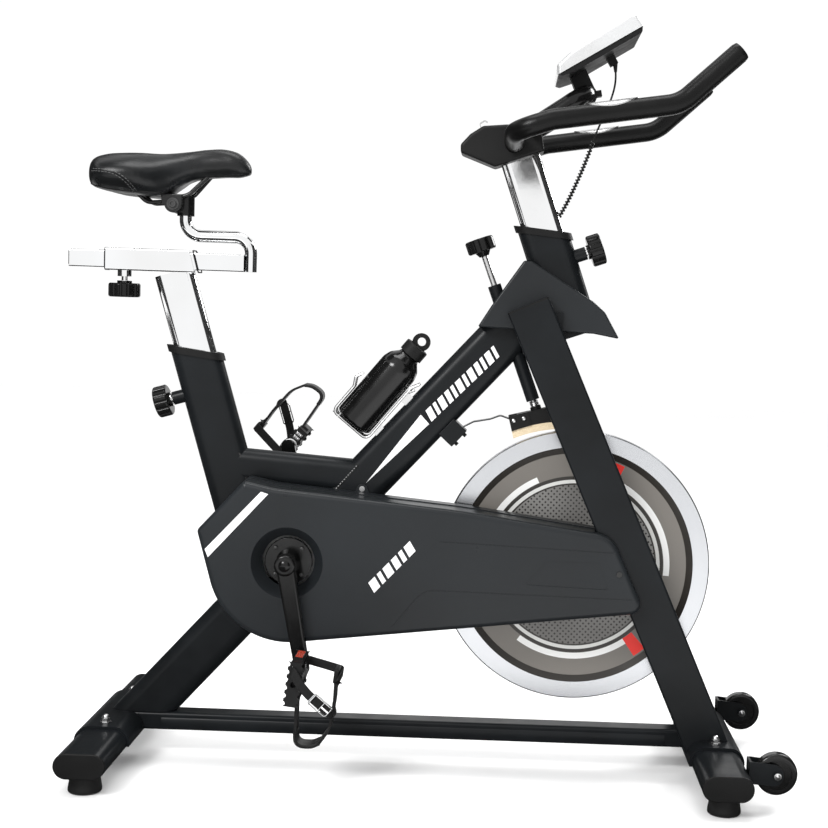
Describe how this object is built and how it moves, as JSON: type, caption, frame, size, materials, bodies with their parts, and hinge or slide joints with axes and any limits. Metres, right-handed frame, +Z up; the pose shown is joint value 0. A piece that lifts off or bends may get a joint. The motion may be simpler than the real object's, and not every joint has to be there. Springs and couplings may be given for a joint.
{
  "type": "indoor exercise bike",
  "caption": "Upright indoor exercise bike with a heavy flywheel at the front, belt cover, saddle, handlebar with console, toe-clip pedals and bottle.",
  "frame": {"origin": "on the floor below the middle of the bike's bounding box", "axes": "+X forward, +Y to the rider's left, +Z up"},
  "size_m": [1.2, 0.5, 1.2379],
  "materials": {
    "frame_paint": "satin",
    "chrome": "polished",
    "zinc": "satin",
    "black_plastic": "matte",
    "gloss_black": "gloss",
    "cover_plastic": "matte",
    "rubber": "matte",
    "foam": "matte",
    "saddle_vinyl": "satin",
    "flywheel_iron": "painted, with a polished rim",
    "belt_rubber": "matte",
    "pulley_alloy": "satin",
    "felt": "felt",
    "nylon": "satin",
    "bottle_black": "gloss",
    "wire": "satin",
    "silver_plastic": "satin silver",
    "screen": "gloss",
    "cable": "matte"
  },
  "bodies": {
    "frame": {"rear_stabilizer": "frame_paint", "front_stabilizer": "frame_paint", "frame_gussets": "frame_paint", "frame_fasteners": "zinc", "main_tube": "frame_paint", "seat_tube": "frame_paint", "head_tube": "frame_paint", "cross_tube": "frame_paint", "floor_tube": "frame_paint", "fork_legs": "frame_paint", "tube_trim": "black_plastic", "cover_outer": "cover_plastic", "cover_inner": "cover_plastic", "head_shroud": "cover_plastic", "wheel_brackets": "frame_paint", "brake_anchor": "frame_paint", "bottle_cage": "wire", "drive_belt": "belt_rubber"},
    "front_right_foot": {"front_right_foot": "rubber"},
    "front_left_foot": {"front_left_foot": "rubber"},
    "rear_right_foot": {"rear_right_foot": "rubber"},
    "rear_left_foot": {"rear_left_foot": "rubber"},
    "flywheel": {"flywheel": "flywheel_iron", "flywheel_hub": "pulley_alloy"},
    "crankset": {"crank_spindle": "zinc", "drive_pulley": "pulley_alloy", "right_crank": "frame_paint", "left_crank": "frame_paint"},
    "right_pedal": {"right_pedal": "nylon", "right_toe_strap": "nylon"},
    "left_pedal": {"left_pedal": "nylon", "left_toe_strap": "nylon"},
    "brake_rod": {"brake_rod": "chrome"},
    "brake_knob": {"tension_knob": "gloss_black"},
    "brake_shoe": {"brake_shoe": "black_plastic", "brake_pad": "felt"},
    "seat_post": {"seat_post": "chrome"},
    "seat_slide": {"seat_slide": "chrome", "saddle_clamp": "frame_paint"},
    "saddle": {"saddle_rails": "zinc", "saddle_base": "black_plastic", "saddle_cushion": "saddle_vinyl"},
    "handlebar": {"handlebar_frame": "chrome", "bar_foam": "foam", "console_loop": "frame_paint", "stem_cover": "black_plastic", "bar_fittings": "silver_plastic", "console_shell": "silver_plastic", "console_base": "black_plastic", "console_screen": "screen", "console_plug": "cable", "console_lead": "cable"},
    "console_button": {"console_button": "gloss_black"},
    "seat_height_pin": {"seat_height_pin": "gloss_black"},
    "bar_height_pin": {"bar_height_pin": "gloss_black"},
    "seat_slide_pin": {"seat_slide_pin": "gloss_black"},
    "bottle": {"bottle": "bottle_black"},
    "bottle_cap": {"bottle_cap": "gloss_black"},
    "right_wheel": {"right_wheel": "rubber"},
    "left_wheel": {"left_wheel": "rubber"}
  },
  "joints": [
    {"name": "flywheel_spin", "type": "hinge", "parent": "frame", "child": "flywheel", "pos_m": [0.2485, 0, 0.345], "axis": [0, 1, 0], "continuous": true},
    {"name": "crank_spin", "type": "hinge", "parent": "frame", "child": "crankset", "pos_m": [-0.218, 0, 0.347], "axis": [0, 1, 0], "continuous": true},
    {"name": "right_pedal_spin", "type": "hinge", "parent": "crankset", "child": "right_pedal", "pos_m": [-0.18702, 0, 0.17985], "axis": [0, 1, 0], "continuous": true},
    {"name": "left_pedal_spin", "type": "hinge", "parent": "crankset", "child": "left_pedal", "pos_m": [-0.24898, 0, 0.51415], "axis": [0, 1, 0], "continuous": true},
    {"name": "brake_push", "type": "slide", "parent": "frame", "child": "brake_rod", "axis": [0.3535, 0, -0.9354], "range_m": [0, 0.001], "stiffness_N_per_m": 3000, "springref_m": -0.004},
    {"name": "brake_knob_turn", "type": "hinge", "parent": "brake_rod", "child": "brake_knob", "pos_m": [0.075, 0, 0.869], "axis": [-0.3535, 0, 0.9354], "range_deg": [-288, 288]},
    {"name": "brake_pad_feed", "type": "slide", "parent": "brake_rod", "child": "brake_shoe", "axis": [-0.3535, 0, 0.9354], "range_m": [-0.00101, 0.00101]},
    {"name": "seat_height", "type": "slide", "parent": "frame", "child": "seat_post", "axis": [-0.284, 0, 0.9588], "range_m": [-0.1, 0.06]},
    {"name": "seat_fore_aft", "type": "slide", "parent": "seat_post", "child": "seat_slide", "axis": [1, 0, 0], "range_m": [-0.07, 0.05]},
    {"name": "saddle_tilt", "type": "hinge", "parent": "seat_slide", "child": "saddle", "pos_m": [-0.427, 0, 0.918], "axis": [0, 1, 0], "range_deg": [-12, 12]},
    {"name": "handlebar_height", "type": "slide", "parent": "frame", "child": "handlebar", "axis": [-0.3355, 0, 0.9421], "range_m": [-0.01, 0.1]},
    {"name": "console_button_press", "type": "slide", "parent": "handlebar", "child": "console_button", "axis": [0.5225, 0, -0.8526], "range_m": [0, 0.0015], "stiffness_N_per_m": 800, "springref_m": -0.002},
    {"name": "seat_height_pin_pull", "type": "slide", "parent": "frame", "child": "seat_height_pin", "axis": [-0.9588, 0, -0.284], "range_m": [0, 0.008], "stiffness_N_per_m": 500, "springref_m": -0.008},
    {"name": "bar_height_pin_pull", "type": "slide", "parent": "frame", "child": "bar_height_pin", "axis": [0.9421, 0, 0.3355], "range_m": [0, 0.008], "stiffness_N_per_m": 500, "springref_m": -0.008},
    {"name": "seat_slide_pin_pull", "type": "slide", "parent": "seat_post", "child": "seat_slide_pin", "axis": [0, 0, -1], "range_m": [0, 0.008], "stiffness_N_per_m": 600, "springref_m": -0.008},
    {"name": "bottle_lift", "type": "slide", "parent": "frame", "child": "bottle", "axis": [0.6293, 0, 0.7771], "range_m": [0, 0.12]},
    {"name": "bottle_cap_turn", "type": "hinge", "parent": "bottle", "child": "bottle_cap", "pos_m": [-0.1277, 0, 0.5705], "axis": [0.6293, 0, 0.7771], "range_deg": [0, 720]},
    {"name": "right_wheel_roll", "type": "hinge", "parent": "frame", "child": "right_wheel", "pos_m": [0.568, -0.182, 0.057], "axis": [0, 1, 0], "continuous": true},
    {"name": "left_wheel_roll", "type": "hinge", "parent": "frame", "child": "left_wheel", "pos_m": [0.568, 0.182, 0.057], "axis": [0, 1, 0], "continuous": true},
    {"name": "rear_right_foot_turn", "type": "hinge", "parent": "frame", "child": "rear_right_foot", "pos_m": [-0.507, -0.21, 0], "axis": [0, 0, 1], "range_deg": [-180, 180]},
    {"name": "rear_left_foot_turn", "type": "hinge", "parent": "frame", "child": "rear_left_foot", "pos_m": [-0.507, 0.21, 0], "axis": [0, 0, 1], "range_deg": [-180, 180]},
    {"name": "front_right_foot_turn", "type": "hinge", "parent": "frame", "child": "front_right_foot", "pos_m": [0.485, -0.21, 0], "axis": [0, 0, 1], "range_deg": [-180, 180]},
    {"name": "front_left_foot_turn", "type": "hinge", "parent": "frame", "child": "front_left_foot", "pos_m": [0.485, 0.21, 0], "axis": [0, 0, 1], "range_deg": [-180, 180]}
  ],
  "couplings": [
    {"joint": "crank_spin", "follows": "flywheel_spin", "ratio": 0.3},
    {"joint": "brake_pad_feed", "follows": "brake_knob_turn", "m_per_rad": 0.00019894}
  ]
}
